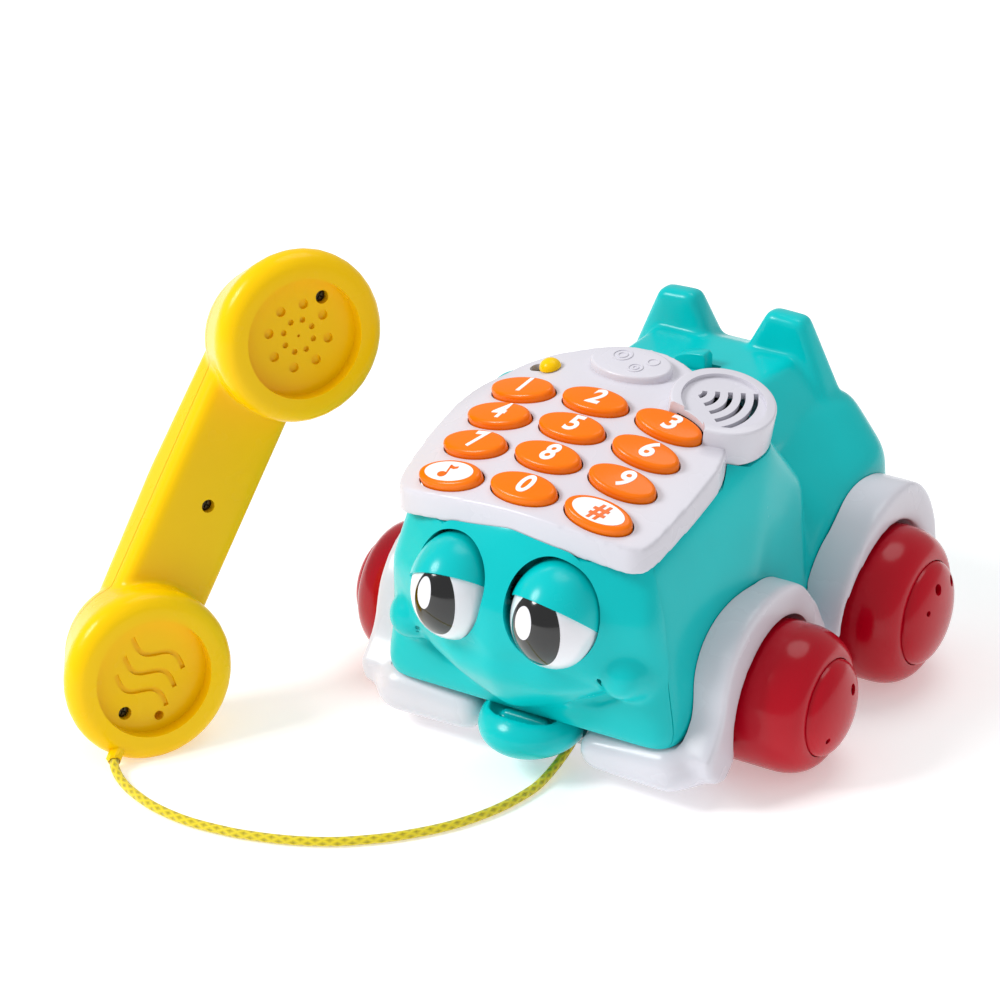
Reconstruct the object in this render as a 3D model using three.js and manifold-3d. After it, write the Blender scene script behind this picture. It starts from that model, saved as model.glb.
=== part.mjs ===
// Pull-along toy telephone: a smiling car with a keypad on its bonnet, and a handset on a cord.
// Millimetres, +Z up. The face looks along -Y and +X is the car's own left side.
import * as THREE from "three";
import { ConvexGeometry } from "three/addons/geometries/ConvexGeometry.js";
import { mergeVertices } from "three/addons/utils/BufferGeometryUtils.js";
import Module from "manifold-3d";

const wasm = await Module();
wasm.setup();

// ---------------------------------------------------------------- driving dimensions
// From the car's own frame to the part's, whose origin is the bottom centre of the whole toy's box.
const CAR_SHIFT = [24.87, -21.34, 0];
const GAP = 0.3; // clearance between neighbouring pieces
const WALL = 2.4; // moulded wall
const SEAM_Y = -17; // parting plane between the face and the body
const FAR = 400; // longer than anything here, for cutting

const FRONT = { y: 28.6, r: 24.3, wellR: 26, archZ: 21, archR: 27.5 };
const REAR = { y: 98.3, r: 26.8, wellR: 28.5, archZ: 24, archR: 30.5 };
const WHEEL = { inner: 48, shoulder: 74, tip: 90, capR: 0.66 };
const AXLE_R = 2;
const FLOOR = { z0: 8, z1: 11 };

const PAD = { z0: 106.43, slope: 0.29, bow: 0.00182, crown: 0.003218, skirt: 9, skin: 2.4 };
const KEYS = { a: 11.5, b: 6, columnStep: 26.5, rowStep: 14.45, rearY: 23.1, proud: 2.6 };
const KEY_NAMES = [
  ["key_1", "key_2", "key_3"],
  ["key_4", "key_5", "key_6"],
  ["key_7", "key_8", "key_9"],
  ["key_note", "key_0", "key_hash"],
];
const POD = { x: 36, y: 40, r: 17, rise: 5.2 };
const SPEAKER_R = 9.3;
const BADGE = { x: 0, y: 46, a: 14.2, b: 9, rise: 2.4 };
const SWITCH = { x: -25.5, y: 38.2, r: 3.6, travel: 5.2 };
const HOOK = { y: 88, z: 101, pinX: -5.5, pinZ: 96, pinR: 1, width: 5.4, left: -7.2, right: 5.6, rise: 5.5 };
const EYE = { x: 18.2, y: -29.6, z: 65.6, a: 14.4, r: 16.8, shaftR: 1.5 };
const SOCKET = { a: 15.4, b: 17.5, x: 9.8, rise: 2.7, turn: 0.29 };
const DOOR = { x: 18, y0: 38, y1: 90, screwY: 84 };
const SCREW_PLACES = [[-40, -4], [40, -4], [-38, 122], [38, 122]];
const CELL = { x: 7.6, z: 19.6, r: 7.1, y0: 39, y1: 89 };

const HANDSET = { pitch: 118.8, cupR: 27.3, dishR: 18.8, dishDepth: 5, depth: 29, gripDepth: 14.5 };
const GRIP_HALF = 15;
const CORD_R = 1.5;

// ---------------------------------------------------------------- solids
function solid(geometry) {
  const bare = new THREE.BufferGeometry();
  bare.setAttribute("position", geometry.getAttribute("position").clone());
  if (geometry.index) bare.setIndex(geometry.index.clone());
  const merged = mergeVertices(bare, 1e-4);
  const vertProperties = new Float32Array(merged.getAttribute("position").array);
  const triVerts = new Uint32Array(merged.index.array);
  return new wasm.Manifold(new wasm.Mesh({ numProp: 3, vertProperties, triVerts }));
}

function geometryOf(manifold) {
  const mesh = manifold.getMesh();
  const geometry = new THREE.BufferGeometry();
  geometry.setAttribute("position", new THREE.BufferAttribute(new Float32Array(mesh.vertProperties), 3));
  geometry.setIndex(new THREE.BufferAttribute(new Uint32Array(mesh.triVerts), 1));
  geometry.computeVertexNormals();
  return geometry;
}

const join = (...pieces) => pieces.reduce((sum, piece) => sum.add(piece));
const cut = (whole, ...tools) => tools.reduce((rest, tool) => rest.subtract(tool), whole);

// Directions that stand for a sphere in a hull.
const SPHERE_DIRECTIONS = [new THREE.Vector3(0, 0, 1), new THREE.Vector3(0, 0, -1)];
for (const latitude of [-45, 0, 45]) {
  for (let turn = 0; turn < 8; turn += 1) {
    const up = THREE.MathUtils.degToRad(latitude);
    const around = (turn * Math.PI) / 4;
    const flat = Math.cos(up);
    SPHERE_DIRECTIONS.push(new THREE.Vector3(flat * Math.cos(around), flat * Math.sin(around), Math.sin(up)));
  }
}

// Convex body around spheres [x, y, z, r]; grow moves its whole surface outwards.
function hull(spheres, grow = 0) {
  const points = [];
  for (const [x, y, z, r] of spheres) {
    for (const d of SPHERE_DIRECTIONS) {
      points.push(new THREE.Vector3(x, y, z).addScaledVector(d, r + grow));
    }
  }
  return solid(new ConvexGeometry(points));
}

const mirrored = (spheres) =>
  spheres.flatMap(([x, y, z, r]) => (x ? [[x, y, z, r], [-x, y, z, r]] : [[x, y, z, r]]));
const flipped = (spheres) => spheres.map(([x, y, z, r]) => [-x, y, z, r]);

function box(low, high) {
  const size = high.map((value, i) => value - low[i]);
  const geometry = new THREE.BoxGeometry(...size);
  geometry.translate(...low.map((value, i) => value + size[i] / 2));
  return solid(geometry);
}

// Cylinder along X from x0 to x1 about (y, z).
function drum(x0, x1, y, z, r, sides = 32) {
  const geometry = new THREE.CylinderGeometry(r, r, x1 - x0, sides);
  geometry.rotateZ(-Math.PI / 2);
  geometry.translate((x0 + x1) / 2, y, z);
  return solid(geometry);
}

// Upright cylinder.
function post(x, y, z0, z1, r, sides = 24) {
  const geometry = new THREE.CylinderGeometry(r, r, z1 - z0, sides);
  geometry.rotateX(Math.PI / 2);
  geometry.translate(x, y, (z0 + z1) / 2);
  return solid(geometry);
}

// Body of revolution about X whose flats touch the stated radii.
// The profile is [x, radius] pairs from axis to axis.
function turned(profile, y, z, sides = 24) {
  const half = Math.PI / sides;
  const points = profile.map(([x, r]) => new THREE.Vector2(r / Math.cos(half), x));
  const geometry = new THREE.LatheGeometry(points, sides, half);
  geometry.rotateZ(-Math.PI / 2);
  geometry.translate(0, y, z);
  return solid(geometry);
}

function extrusion(shape, depth, options = {}) {
  return new THREE.ExtrudeGeometry(shape, { depth, bevelEnabled: false, curveSegments: 12, ...options });
}

function ellipse(a, b, segments = 16) {
  const shape = new THREE.Shape();
  for (let i = 0; i < segments; i += 1) {
    const turn = (i / segments) * 2 * Math.PI;
    const point = [a * Math.cos(turn), b * Math.sin(turn)];
    if (i) shape.lineTo(...point);
    else shape.moveTo(...point);
  }
  return shape;
}

// ---------------------------------------------------------------- the bonnet's curved surface
const padZ = (x, y) => PAD.z0 + PAD.slope * y - PAD.bow * y * y - PAD.crown * x * x;

function padNormal(x, y) {
  return new THREE.Vector3(2 * PAD.crown * x, -PAD.slope + 2 * PAD.bow * y, 1).normalize();
}

// Turns a shape modelled on the origin, +Z outwards, onto the bonnet at (x, y).
function ontoPad(geometry, x, y, lift = 0) {
  const turn = new THREE.Quaternion().setFromUnitVectors(new THREE.Vector3(0, 0, 1), padNormal(x, y));
  geometry.applyQuaternion(turn);
  const at = new THREE.Vector3(x, y, padZ(x, y)).addScaledVector(padNormal(x, y), lift);
  geometry.translate(at.x, at.y, at.z);
  return geometry;
}

// Slab that follows the bonnet between two offsets from its surface.
function padSlab(low, high, halfX = 60, y0 = -45, y1 = 75) {
  const geometry = new THREE.BoxGeometry(2 * halfX, y1 - y0, 1, 6, 4, 1);
  const position = geometry.getAttribute("position");
  for (let i = 0; i < position.count; i += 1) {
    const x = position.getX(i);
    const y = position.getY(i) + (y0 + y1) / 2;
    position.setXYZ(i, x, y, padZ(x, y) + (position.getZ(i) > 0 ? high : low));
  }
  return solid(geometry);
}

// Outline of the bonnet panel in plan, moved outwards by grow.
function padOutline(grow = 0) {
  const half = [
    [0, -29], [20, -28.6], [35, -27], [42, -25], [45.6, -20], [47.2, -8], [48, 6], [47.6, 18],
    [45, 27], [41, 33], [37, 40], [31, 46.5], [23, 51.5], [13, 57], [0, 59.5],
  ];
  const centre = new THREE.Vector2(0, 12);
  const points = half.map(([x, y]) => new THREE.Vector2(x, y));
  for (let i = half.length - 2; i > 0; i -= 1) points.push(new THREE.Vector2(-half[i][0], half[i][1]));
  return new THREE.Shape(points.map((p, i) => {
    const along = points[(i + 1) % points.length].clone().sub(points.at(i - 1)).normalize();
    const out = new THREE.Vector2(along.y, -along.x);
    if (out.dot(p.clone().sub(centre)) < 0) out.negate();
    return p.clone().addScaledVector(out, grow);
  }));
}

const padPrism = (grow, z0 = 20, z1 = 160) => {
  const geometry = extrusion(padOutline(grow), z1 - z0);
  geometry.translate(0, 0, z0);
  return solid(geometry);
};

const keyPlace = (row, column) => [(column - 1) * KEYS.columnStep, KEYS.rearY - row * KEYS.rowStep];

function podDisc(r, low, high, sides = 28) {
  const geometry = new THREE.CylinderGeometry(r, r, high - low, sides);
  geometry.rotateX(Math.PI / 2);
  geometry.translate(0, 0, (low + high) / 2);
  return solid(ontoPad(geometry, POD.x, POD.y));
}

// ---------------------------------------------------------------- outer forms of the car
const CABIN = mirrored([
  [46, -14, 26, 8], [38, -16, 80, 7], [40, 15, 92, 7], [43, 45, 97, 8.5], [16, 51, 102.5, 6.5],
  [44, 65, 76, 8.5], [47, 68, 26, 8],
]);
const HAUNCH = mirrored([
  [27, 76, 80, 10], [28, 120, 76, 10], [43, 84, 58, 13], [43, 116, 57, 13], [38, 124, 50, 13],
  [46, 128, 26, 8], [46, 66, 26, 8],
]);
const CRADLE = mirrored([
  [24, 66, 96.5, 4.5], [24, 112, 96.5, 4.5], [33, 68, 84, 5], [33, 118, 82, 5], [25, 121, 94, 4],
]);
const PRONG = [
  [17, 114.5, 110.5, 3], [23.5, 114.5, 110.5, 3], [17, 117.5, 110, 3], [23.5, 117.5, 110, 3],
  [10, 112.5, 99, 3], [31, 112.5, 96, 3], [10, 121, 96, 3], [32, 121, 94, 3],
];
const BROW = mirrored([
  [36, -13, 79, 7], [38, -17, 66, 10], [42, -14, 48, 9], [15, -21, 79, 8], [17, -27, 68, 10],
  [0, -29, 68, 9.5], [0, -30, 54, 10], [28, -23, 52, 10],
]);
const MUZZLE = mirrored([
  [0, -27, 47, 12], [24, -21, 47, 9], [0, -23, 37, 10], [16, -18, 38, 9], [0, -15, 31, 9],
]);
const LOWER_FACE = mirrored([[45, -9, 52, 9], [45, -10, 30, 8.5], [12, -12, 34, 6], [12, -9, 27, 4]]);
const CHIN = mirrored([[9, -15, 13.5, 6.5], [0, -21, 13, 6.5], [8, -6, 14, 5], [10, -10, 22, 5]]);
const BUMPER = [[25, -12.5, 12.8, 6.8], [51, -10.5, 14, 8.5], [52, 0, 16, 6]];

const bodyForm = (grow) =>
  join(...[CABIN, HAUNCH, CRADLE, PRONG, flipped(PRONG)].map((form) => hull(form, grow)));
const faceForm = (grow) => join(hull(BROW, grow), hull(MUZZLE, grow), hull(LOWER_FACE, grow));
const inFront = (y) => box([-FAR, -FAR, -FAR], [FAR, y, FAR]);
const below = (z) => box([-FAR, -FAR, -FAR], [FAR, FAR, z]);

const BODY_FOOT = 22; // lower edge of the teal mouldings
const wheelSpaces = (grow) =>
  [FRONT, REAR].flatMap((wheel) =>
    [-1, 1].map((side) => {
      const [x0, x1] = side > 0 ? [44 - grow, FAR] : [-FAR, -44 + grow];
      return drum(x0, x1, wheel.y, wheel.r, wheel.wellR + 2 + grow, 28);
    }),
  );

function bodyShell() {
  const ends = [inFront(SEAM_Y + GAP / 2), below(BODY_FOOT)];
  const shell = cut(bodyForm(0), bodyForm(-WALL), ...ends, ...wheelSpaces(GAP));
  const seat = padPrism(GAP).intersect(padSlab(-PAD.skirt - GAP, 90));
  const window = padPrism(-4.5);
  const podSeat = podDisc(POD.r + GAP, -PAD.skirt, 30);
  const half = HOOK.width / 2 + 0.5;
  const hookSlot = box([HOOK.left - 0.6, HOOK.y - half, 80], [HOOK.right + 3.2, HOOK.y + half, 120]);
  const bosses = SCREW_PLACES.map(([x, y]) => {
    const side = Math.sign(x);
    const wall = y < 0 ? [side * 60, y] : [x, 150];
    const rib = box(
      [Math.min(x, wall[0]) - (y < 0 ? 0 : 1), Math.min(y, wall[1]) - (y < 0 ? 1 : 0), 34],
      [Math.max(x, wall[0]) + (y < 0 ? 0 : 1), Math.max(y, wall[1]) + (y < 0 ? 1 : 0), 50],
    );
    const boss = join(post(x, y, BODY_FOOT, 50, 3.6, 12), rib).intersect(bodyForm(-1));
    return cut(boss, post(x, y, 0, 32, 1.7, 12));
  });
  const lugs = [-1, 1].map((end) => {
    const y = HOOK.y + end * 5;
    const lug = box([HOOK.pinX - 2.2, y - 1.5, HOOK.pinZ - 2.2], [HOOK.pinX + 2.2, y + 1.5, 99.5]);
    return cut(lug, hookPin(GAP));
  });
  return join(cut(shell, seat, window.intersect(inFront(52)), podSeat, hookSlot), ...bosses, ...lugs);
}

function eyeHole(side, grow) {
  const geometry = extrusion(ellipse(SOCKET.a + grow, SOCKET.b + grow), 60);
  geometry.rotateX(Math.PI / 2);
  geometry.rotateZ(side * SOCKET.turn);
  geometry.translate(side * SOCKET.x, -5, EYE.z + SOCKET.rise);
  return solid(geometry);
}

function faceShell() {
  const hollow = faceForm(-WALL);
  const seat = padPrism(GAP).intersect(padSlab(-PAD.skirt - GAP, 90));
  const behind = box([-FAR, SEAM_Y - GAP / 2, -FAR], [FAR, FAR, FAR]);
  const upper = cut(faceForm(0), hollow, behind, below(BODY_FOOT), seat, eyeHole(1, 0), eyeHole(-1, 0));
  const chin = cut(hull(CHIN), hollow, box([-FAR, -12, -FAR], [FAR, FAR, FAR]));
  return cut(join(upper, chin), eyeBall(1, 0.6), eyeBall(-1, 0.6));
}

// ---------------------------------------------------------------- chassis with its fenders and bumpers
function fender(side) {
  const top = new THREE.SplineCurve(
    [
      [-17, 20], [-9, 30], [-5, 44], [3, 54], [16, 60], [32, 60.5], [46, 55], [56, 43], [61.5, 31], [64, 28],
      [66.5, 32], [70, 43], [77, 54], [87, 62], [100, 66], [113, 65], [125, 58], [134, 43], [137, 20],
    ].map(([y, z]) => new THREE.Vector2(y, z)),
  ).getPoints(30);
  const shape = new THREE.Shape(top);
  shape.lineTo(136, 12);
  shape.lineTo(127, 10);
  // The angle at which each arch meets the foot of the web between the wheels.
  const webEnd = (wheel) => Math.asin((wheel.archZ - FLOOR.z0) / wheel.archR);
  shape.absarc(REAR.y, REAR.archZ, REAR.archR, -0.3, Math.PI + webEnd(REAR), false);
  shape.absarc(FRONT.y, FRONT.archZ, FRONT.archR, -webEnd(FRONT), Math.PI + 0.3, false);
  shape.lineTo(-8, 7);
  shape.lineTo(-15, 8);
  const base = 50;
  const geometry = extrusion(shape, 15);
  const position = geometry.getAttribute("position");
  for (let i = 0; i < position.count; i += 1) {
    const [y, z, x] = [position.getX(i), position.getY(i), position.getZ(i)];
    const flare = 1 + 0.34 * THREE.MathUtils.smoothstep(y, 45, 85);
    position.setXYZ(i, base + Math.max(x, 0) * flare, y, z);
  }
  const piece = solid(geometry);
  return side > 0 ? piece : piece.mirror([1, 0, 0]);
}

function wellLiners() {
  return [FRONT, REAR].flatMap((wheel) =>
    [-1, 1].map((side) => {
      const span = (x0, x1) => (side > 0 ? [x0, x1] : [-x1, -x0]);
      const cup = cut(
        drum(...span(44, 58), wheel.y, wheel.r, wheel.wellR + 2, 28),
        drum(...span(46, 70), wheel.y, wheel.r, wheel.wellR, 28),
      );
      return cut(cup, below(FLOOR.z0));
    }),
  );
}

function chassis() {
  const floor = box([-50, -8, FLOOR.z0], [50, 132, FLOOR.z1]);
  const tail = hull(mirrored([[46, 130, 15, 6], [46, 130, 20, 4]]));
  const nose = hull(mirrored([[18, -5, 12, 4], [18, -5, 19, 3]]));
  const wellCuts = [FRONT, REAR].flatMap((wheel) => [
    drum(46, FAR, wheel.y, wheel.r, wheel.wellR, 28),
    drum(-FAR, -46, wheel.y, wheel.r, wheel.wellR, 28),
  ]);
  const axleCuts = [FRONT, REAR].map((wheel) => drum(-60, 60, wheel.y, wheel.r, AXLE_R + GAP, 20));
  const posts = SCREW_PLACES.map(([x, y]) => post(x, y, FLOOR.z1 - 1, 20, 4.6, 12));
  const trim = join(tail, nose, hull(BUMPER), hull(flipped(BUMPER)), fender(1), fender(-1));
  const above = [CABIN, HAUNCH, LOWER_FACE].map((form) => hull(form, GAP));
  const upper = cut(join(...above), below(BODY_FOOT - GAP));
  const whole = join(floor, cut(trim, upper), ...wellLiners(), ...posts);
  const bore = new THREE.CylinderGeometry(2.3, 2.3, 22, 12);
  bore.rotateX(Math.PI / 4);
  bore.translate(CORD_ROUTE[1][0], CORD_ROUTE[1][1], CORD_ROUTE[1][2]);
  const cordBore = solid(bore);
  const doorHole = box([-DOOR.x - GAP, DOOR.y0 - GAP, 0], [DOOR.x + GAP, DOOR.y1 + GAP, 20]);
  const screwHoles = SCREW_PLACES.flatMap(([x, y]) => [
    post(x, y, 0, 14, 3, 12), post(x, y, 10, 30, 1.8, 12),
  ]);
  return cut(whole, ...wellCuts, ...axleCuts, hull(CHIN, GAP), cordBore, doorHole, ...screwHoles);
}

// ---------------------------------------------------------------- wheels and axles
function wheelProfile(r) {
  const cap = r * WHEEL.capR;
  return { cap, seamX: WHEEL.tip - 6.5 };
}

function tyre(wheel, side) {
  const { cap, seamX } = wheelProfile(wheel.r);
  const r = wheel.r;
  const profile = [
    [WHEEL.inner, 0], [WHEEL.inner, r - 4], [WHEEL.inner + 1.5, r - 1.2], [WHEEL.inner + 5, r],
    [WHEEL.shoulder, r], [WHEEL.shoulder + 3, r - 0.7], [WHEEL.shoulder + 5.5, r - 2.3],
    [WHEEL.shoulder + 7.5, r - 4.6], [seamX, cap + 0.3], [seamX - 2.5, cap + 0.3], [seamX - 2.5, 0],
  ];
  const place = (list) => (side > 0 ? list : list.map(([x, radius]) => [-x, radius]).reverse());
  const bore = side > 0 ? [0, 76] : [-76, 0];
  return cut(turned(place(profile), wheel.y, wheel.r), drum(...bore, wheel.y, wheel.r, AXLE_R + GAP, 20));
}

function hubCap(wheel, side) {
  const { cap, seamX } = wheelProfile(wheel.r);
  const steps = 4;
  const profile = [[seamX - 2.2, 0], [seamX - 2.2, cap]];
  for (let i = 0; i <= steps; i += 1) {
    const turn = (i / steps) * (Math.PI / 2);
    profile.push([seamX + (WHEEL.tip - seamX) * Math.sin(turn), cap * Math.cos(turn)]);
  }
  profile.at(-1)[1] = 0;
  const place = (list) => (side > 0 ? list : list.map(([x, radius]) => [-x, radius]).reverse());
  let piece = turned(place(profile), wheel.y, wheel.r);
  for (const [turn, reach, hole] of [[20, 0.55, 1.9], [60, 0.55, 1.9], [100, 0.55, 1.9], [215, 0.45, 1]]) {
    const angle = THREE.MathUtils.degToRad(turn);
    const y = wheel.y - reach * cap * Math.cos(angle);
    const z = wheel.r + reach * cap * Math.sin(angle);
    const span = side > 0 ? [seamX + 1.5, FAR] : [-FAR, -seamX - 1.5];
    piece = cut(piece, drum(...span, y, z, hole, 8));
  }
  return piece;
}

// ---------------------------------------------------------------- keypad
function panel() {
  const skin = padSlab(-PAD.skirt, 0).intersect(padPrism(0));
  const hollow = padSlab(-90, -PAD.skin).intersect(padPrism(-PAD.skin));
  const pod = podDisc(POD.r, -PAD.skirt + 1, POD.rise);
  const oval = extrusion(ellipse(BADGE.a, BADGE.b), 4);
  const badge = solid(ontoPad(oval, BADGE.x, BADGE.y, BADGE.rise - 4));
  let piece = cut(join(cut(skin, hollow), cut(pod, hollow.intersect(padSlab(-90, -PAD.skin))), badge),
    podDisc(POD.r - 2.2, -30, 1.4), podDisc(POD.r - 3.4, POD.rise - 1.4, 30));
  for (const [row, names] of KEY_NAMES.entries()) {
    for (const column of names.keys()) {
      const [x, y] = keyPlace(row, column);
      piece = cut(piece, solid(ontoPad(extrusion(ellipse(KEYS.a + 0.5, KEYS.b + 0.5), 12), x, y, -6)));
    }
  }
  const slot = new THREE.Shape();
  const reach = SWITCH.travel;
  slot.absarc(0, 0, 2.4, -Math.PI / 2, Math.PI / 2, false);
  slot.absarc(-reach, 0, 2.4, Math.PI / 2, (3 * Math.PI) / 2, false);
  piece = cut(piece, solid(ontoPad(extrusion(slot, 12, { curveSegments: 8 }), SWITCH.x, SWITCH.y, -6)));
  for (let i = 0; i < 5; i += 1) piece = cut(piece, grilleSlot(3.2 + 4 * i));
  return piece;
}

// Curved sound slot of the loudspeaker grille, one of a set about the pod's far left edge.
function grilleSlot(radius) {
  const [from, to] = [-0.62, 0.62];
  const shape = new THREE.Shape();
  shape.absarc(-9, 0, radius + 0.6, from, to, false);
  shape.absarc(-9, 0, radius - 0.6, to, from, true);
  return solid(ontoPad(extrusion(shape, 20, { curveSegments: 4 }), POD.x, POD.y, -10));
}

function key(row, column) {
  const [x, y] = keyPlace(row, column);
  const cap = extrusion(ellipse(KEYS.a - 0.6, KEYS.b - 0.6), PAD.skin + KEYS.proud + 1.6,
    { bevelEnabled: true, bevelThickness: 0.8, bevelSize: 0.6, bevelSegments: 1 });
  const flange = extrusion(ellipse(KEYS.a + 0.8, KEYS.b + 0.8, 12), 1);
  cap.translate(0, 0, -PAD.skin - 2.4);
  flange.translate(0, 0, -PAD.skin - 3.4);
  return join(solid(ontoPad(cap, x, y)), solid(ontoPad(flange, x, y)));
}

// ---------------------------------------------------------------- handset
// Its own frame: +Y from mouthpiece to earpiece, +X to the right, +Z out of the cups.
// z = 0 is the plane of the rims.
const cupY = (end) => (end * HANDSET.pitch) / 2;
const shellForm = (grow) => {
  const { cupR, depth, gripDepth } = HANDSET;
  const cups = [-1, 1].map((end) => {
    const y = cupY(end);
    const ring = [];
    for (let i = 0; i < 12; i += 1) {
      const turn = (i / 12) * 2 * Math.PI;
      const [c, s] = [Math.cos(turn), Math.sin(turn)];
      ring.push([(cupR - 4) * c, y + (cupR - 4) * s, -4, 4]);
      ring.push([(cupR - 11) * c, y - end * 2 + (cupR - 11) * s, -depth + 8, 8]);
    }
    return hull(ring, grow);
  });
  const corner = 5;
  const grip = [];
  for (const x of [-GRIP_HALF + corner, GRIP_HALF - corner]) {
    for (const y of [cupY(-1), cupY(1)]) {
      grip.push([x, y, -gripDepth - corner, corner], [x, y, -depth + corner, corner]);
    }
  }
  return join(...cups, hull(grip, grow));
};

const HANDSET_SEAM = -21;
const HANDSET_SCREWS = [
  { name: "handset_screw_ear", at: [2, cupY(1) + 14.3], floor: -HANDSET.dishDepth },
  { name: "handset_screw_grip", at: [0, -3], floor: -HANDSET.gripDepth },
  { name: "handset_screw_mouth", at: [-2, cupY(-1) - 14.5], floor: -HANDSET.dishDepth },
];

function handsetShell(front) {
  const { dishR, dishDepth } = HANDSET;
  const dishes = [-1, 1].map((end) => {
    const height = dishDepth + 5;
    const geometry = new THREE.CylinderGeometry(dishR, dishR - 0.8, height, 32);
    geometry.rotateX(Math.PI / 2);
    geometry.translate(0, cupY(end), height / 2 - dishDepth);
    return solid(geometry);
  });
  const backs = [-1, 1].map((end) => post(0, cupY(end), -dishDepth - WALL, 10, dishR + WALL - 1, 32));
  const hollow = cut(shellForm(-WALL), ...backs);
  const behindSeam = below(HANDSET_SEAM + GAP / 2);
  const half = front ? behindSeam : box([-FAR, -FAR, HANDSET_SEAM - GAP / 2], [FAR, FAR, FAR]);
  const bosses = HANDSET_SCREWS.map(({ at, floor }) => post(...at, HANDSET_SEAM + GAP, floor - 1, 4, 12));
  const shell = cut(shellForm(0), hollow, half);
  if (!front) return shell;
  const bores = HANDSET_SCREWS.flatMap(({ at, floor }) => [
    post(...at, floor - 4.5, 10, 2.3, 12), post(...at, -FAR, 10, 1.6, 12),
  ]);
  return cut(join(cut(shell, ...dishes), ...bosses), ...bores);
}

function handsetScrew({ at, floor }) {
  return join(post(...at, floor - 4.2, floor - 2.2, 2, 12), post(...at, -25.5, floor - 3, 1.2, 8));
}

// Where the handset stands: the directions of its three axes and the middle of its rims' plane.
const HANDSET_UP = new THREE.Vector3(0.1713, 0.5028, 0.8473).normalize();
const HANDSET_OUT = new THREE.Vector3(0.842, -0.5212, 0.139).normalize();
const HANDSET_AT = new THREE.Vector3(-95.95, -42.9, 77.9);

function handsetFrame() {
  const across = new THREE.Vector3().crossVectors(HANDSET_UP, HANDSET_OUT).normalize();
  const out = new THREE.Vector3().crossVectors(across, HANDSET_UP);
  return new THREE.Matrix4().makeBasis(across, HANDSET_UP, out).setPosition(HANDSET_AT);
}

// ---------------------------------------------------------------- cord
// The way the cord lies, from the hole under the chin along the floor to the handset, in the car's frame.
const LIE = 1.6;
const CORD_ROUTE = [
  [9.5, -0.4, 11.1], [9.5, -2.4, 9], [9.5, -4.7, 7], [9.5, -8, 5.3], [9.6, -12, 4], [9.8, -17, 2.9],
  [10, -23, 2], [10, -30, LIE], [8.7, -39, LIE], [6.6, -47.2, LIE], [3.8, -54.6, LIE], [0.5, -61.4, LIE],
  [-3.4, -67.6, LIE], [-7.8, -73.3, LIE], [-12.8, -79, LIE], [-18.2, -84, LIE], [-24, -88.7, LIE],
  [-30.2, -92.6, LIE], [-36.8, -95.9, LIE], [-43.6, -98.6, LIE], [-50.8, -100.8, LIE], [-57.9, -102.4, LIE],
  [-71.5, -103.8, LIE], [-85.1, -102.4, LIE], [-96.8, -98.6, LIE], [-104.5, -94.6, 1.9], [-109.5, -91, 2.9],
  [-112.4, -87.4, 4],
];
const CORD_KNOT = { at: [9.5, 2.2, 13.6], r: 2.4 };
const COLLAR = { inside: [-112.9, -84.6, 5.6, 2.7], mouth: [-112.1, -87.8, 4.2, 2.7] };

function cordTube() {
  const points = CORD_ROUTE.map((p) => new THREE.Vector3(...p));
  const path = new THREE.CatmullRomCurve3(points, false, "centripetal");
  const section = new THREE.Shape();
  for (let i = 0; i < 8; i += 1) {
    const turn = (i / 8) * 2 * Math.PI;
    const point = [CORD_R * Math.cos(turn), CORD_R * Math.sin(turn)];
    if (i) section.lineTo(...point);
    else section.moveTo(...point);
  }
  return new THREE.ExtrudeGeometry(section, { extrudePath: path, steps: 40, bevelEnabled: false });
}

// Small boss on the handset's end that the cord comes out of.
function cordCollar() {
  const [from, to] = [CORD_ROUTE.at(-2), CORD_ROUTE.at(-1)].map((p) => new THREE.Vector3(...p));
  const bore = new THREE.CylinderGeometry(2, 2, 30, 12);
  const along = to.clone().sub(from).normalize();
  bore.applyQuaternion(new THREE.Quaternion().setFromUnitVectors(new THREE.Vector3(0, 1, 0), along));
  bore.translate(...to.toArray());
  const clear = shellForm(GAP).transform(handsetFrame().elements);
  return cut(hull([COLLAR.inside, COLLAR.mouth]), solid(bore), clear);
}

// ---------------------------------------------------------------- eyes
function eyeBall(side, grow = 0) {
  const geometry = new THREE.SphereGeometry(1, 16, 10);
  geometry.rotateZ(Math.PI / 2);
  geometry.scale(EYE.a + grow, EYE.r + grow, EYE.r + grow);
  geometry.translate(side * EYE.x, EYE.y, EYE.z);
  return solid(geometry);
}

const eyeShaft = (grow = 0) => drum(-30 - grow, 30 + grow, EYE.y, EYE.z, EYE.shaftR + grow, 12);

function eyeBracket() {
  return cut(box([-1.5, EYE.y - 5, EYE.z - 14], [1.5, EYE.y + 8, EYE.z + 5]), eyeShaft(GAP));
}

// ---------------------------------------------------------------- switches
function switchKnob() {
  const profile = [[0, -5.6], [3.6, -5.6], [3.6, -4.4], [1.9, -4.4], [1.9, 0.4], [SWITCH.r, 0.4]];
  for (const turn of [0.35, 0.7, 1.05, 1.35]) {
    profile.push([SWITCH.r * Math.cos(turn), 0.4 + 3.1 * Math.sin(turn)]);
  }
  profile.push([0, 3.5]);
  const geometry = new THREE.LatheGeometry(profile.map(([r, z]) => new THREE.Vector2(r, z)), 16);
  geometry.rotateX(Math.PI / 2);
  return solid(ontoPad(geometry, SWITCH.x, SWITCH.y));
}

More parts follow.
